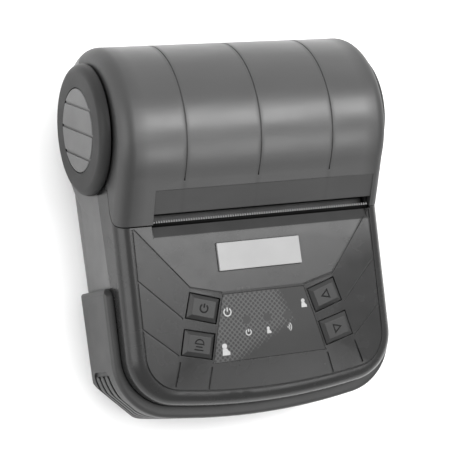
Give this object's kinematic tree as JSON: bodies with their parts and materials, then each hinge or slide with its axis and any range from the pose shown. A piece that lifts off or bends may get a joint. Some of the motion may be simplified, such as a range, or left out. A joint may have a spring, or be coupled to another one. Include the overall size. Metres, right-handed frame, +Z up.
{
  "type": "portable thermal printer",
  "caption": "Hand-held thermal receipt printer with a half-round hinged roll lid, round hub discs with release buttons, a faceted key panel, a toothed tear bar and a ribbed bumper.",
  "frame": {"origin": "centre of the outline on the flat base", "axes": "+Z up, +X to the right, the rounded nose towards -Y and the roll lid towards +Y"},
  "size_m": [0.1076, 0.1296, 0.06],
  "materials": {
    "shell_grey": "satin moulded shell",
    "panel_grey": "fine texture",
    "grip_dark": "soft grip",
    "gloss_dark": "polished, lightly smoked",
    "hub_dark": "polished edge",
    "key_dark": "satin cap",
    "badge": "bare plate",
    "window": "translucent window",
    "white_part": "moulded gear plastic",
    "black_part": "moulded",
    "board": "coated laminate",
    "cell_wrap": "shrink wrap",
    "steel": "sheet and wire",
    "blade": "cut edge",
    "alloy": "extruded",
    "brass": "turned",
    "rubber": "ground roller",
    "ribbon": "flat cable"
  },
  "bodies": {
    "body": {"lower_case": "shell_grey", "upper_case": "panel_grey", "front_bumper": "grip_dark", "hinge_pins": "steel", "hub_left": "hub_dark", "hub_right": "hub_dark", "release_spring_left": "steel", "release_spring_right": "steel", "badge_plate": "badge", "control_window": "window", "key_switches": "black_part", "key_board": "board", "indicator_lamps": "white_part", "main_board": "board", "board_chips": "black_part", "data_socket": "steel", "head_cable": "ribbon", "battery_pack": "cell_wrap", "battery_door": "shell_grey", "door_screws": "steel", "case_screws": "steel", "frame_screws": "steel", "print_frame": "steel", "print_head": "alloy", "head_springs": "steel", "tear_bar": "blade", "paper_sensor": "black_part", "stepper_motor": "steel"},
    "lid": {"lid": "gloss_dark", "platen_holder": "black_part", "platen_bushes": "white_part"},
    "platen": {"platen_shaft": "steel", "platen_rubber": "rubber", "platen_gear": "white_part"},
    "upper_idler": {"idler_gear_upper": "white_part"},
    "lower_idler": {"idler_gear_lower": "white_part"},
    "pinion": {"motor_pinion": "brass"},
    "power_key": {"key_power": "key_dark"},
    "feed_key": {"key_feed": "key_dark"},
    "back_key": {"key_back": "key_dark"},
    "forward_key": {"key_forward": "key_dark"},
    "left_button": {"release_button_left": "hub_dark"},
    "right_button": {"release_button_right": "hub_dark"}
  },
  "joints": [
    {"name": "lid_hinge", "type": "hinge", "parent": "body", "child": "lid", "pos_m": [0, 0.0624, 0.0282], "axis": [-1, 0, 0], "range_deg": [0, 95]},
    {"name": "platen_spin", "type": "hinge", "parent": "lid", "child": "platen", "pos_m": [0, 0.00967, 0.03841], "axis": [1, 0, 0], "continuous": true},
    {"name": "upper_idler_spin", "type": "hinge", "parent": "body", "child": "upper_idler", "pos_m": [-0.0415, 0.00777, 0.02859], "axis": [1, 0, 0], "continuous": true},
    {"name": "lower_idler_spin", "type": "hinge", "parent": "body", "child": "lower_idler", "pos_m": [-0.0415, -0.00155, 0.02497], "axis": [1, 0, 0], "continuous": true},
    {"name": "pinion_spin", "type": "hinge", "parent": "body", "child": "pinion", "pos_m": [-0.0415, -0.00949, 0.028], "axis": [1, 0, 0], "continuous": true},
    {"name": "power_key_press", "type": "slide", "parent": "body", "child": "power_key", "axis": [0, 0.0872, -0.9962], "range_m": [0, 0.0004], "stiffness_N_per_m": 900, "springref_m": -0.0003},
    {"name": "feed_key_press", "type": "slide", "parent": "body", "child": "feed_key", "axis": [0, 0.0872, -0.9962], "range_m": [0, 0.0004], "stiffness_N_per_m": 900, "springref_m": -0.0003},
    {"name": "back_key_press", "type": "slide", "parent": "body", "child": "back_key", "axis": [0, 0.0872, -0.9962], "range_m": [0, 0.0004], "stiffness_N_per_m": 900, "springref_m": -0.0003},
    {"name": "forward_key_press", "type": "slide", "parent": "body", "child": "forward_key", "axis": [0, 0.0872, -0.9962], "range_m": [0, 0.0004], "stiffness_N_per_m": 900, "springref_m": -0.0003},
    {"name": "left_button_press", "type": "slide", "parent": "body", "child": "left_button", "axis": [1, 0, 0], "range_m": [0, 0.0012], "stiffness_N_per_m": 700, "springref_m": -0.002, "deforming": ["release_spring_left"]},
    {"name": "right_button_press", "type": "slide", "parent": "body", "child": "right_button", "axis": [-1, 0, 0], "range_m": [0, 0.0012], "stiffness_N_per_m": 700, "springref_m": -0.002, "deforming": ["release_spring_right"]}
  ],
  "couplings": [
    {"joint": "upper_idler_spin", "follows": "platen_spin", "ratio": -1.2222},
    {"joint": "lower_idler_spin", "follows": "platen_spin", "ratio": 1},
    {"joint": "pinion_spin", "follows": "platen_spin", "ratio": -1.8333}
  ]
}
